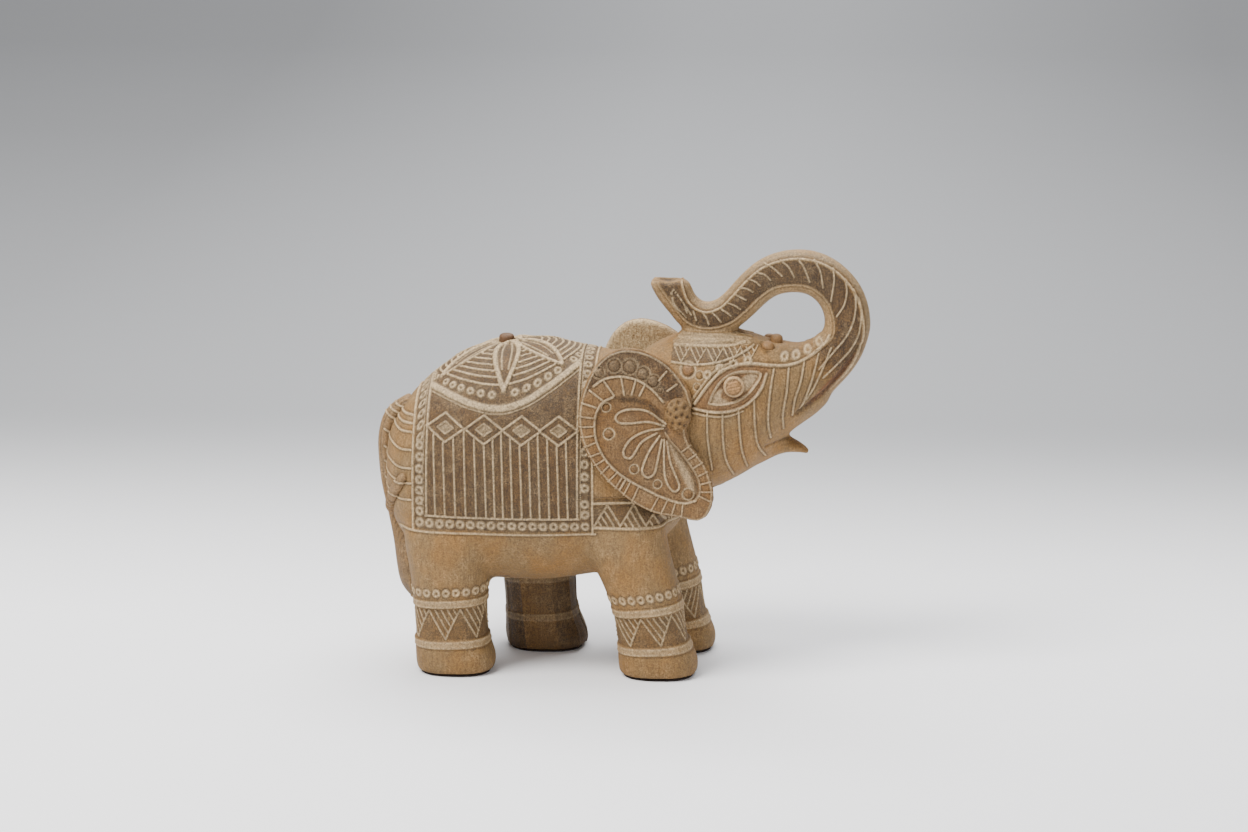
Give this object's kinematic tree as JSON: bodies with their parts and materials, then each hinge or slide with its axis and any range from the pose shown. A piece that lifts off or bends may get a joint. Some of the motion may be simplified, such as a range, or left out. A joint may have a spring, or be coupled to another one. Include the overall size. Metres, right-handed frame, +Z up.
{
  "type": "carved elephant figurine",
  "caption": "Standing elephant carved in wood with its trunk raised in a loop over the brow, separate ears, pegged rosettes, inlaid eyes, a tail on the rump and felt under the feet.",
  "frame": {"origin": "centre of the object's box, on the surface that it stands on", "axes": "+X towards the raised trunk, +Y to the elephant's left, +Z up"},
  "size_m": [0.1775, 0.07, 0.152],
  "materials": {
    "carved_wood": "matt, stained tan with pale wax in the carving",
    "dark_wood": "matt, browner than the rest",
    "dowel_wood": "plain turned",
    "felt": "felt"
  },
  "bodies": {
    "root": {"body_block": "carved_wood", "head_block": "carved_wood", "right_ear": "carved_wood", "left_ear": "carved_wood", "right_ear_peg": "carved_wood", "left_ear_peg": "carved_wood", "tail": "carved_wood", "right_eye": "dark_wood", "left_eye": "dark_wood", "centre_brow_stud": "dark_wood", "right_brow_stud": "dark_wood", "left_brow_stud": "dark_wood", "lotus_boss": "dark_wood", "upper_neck_dowel": "dowel_wood", "lower_neck_dowel": "dowel_wood", "tail_dowel": "dowel_wood", "right_hind_pad": "felt", "left_hind_pad": "felt", "right_front_pad": "felt", "left_front_pad": "felt"}
  },
  "joints": []
}
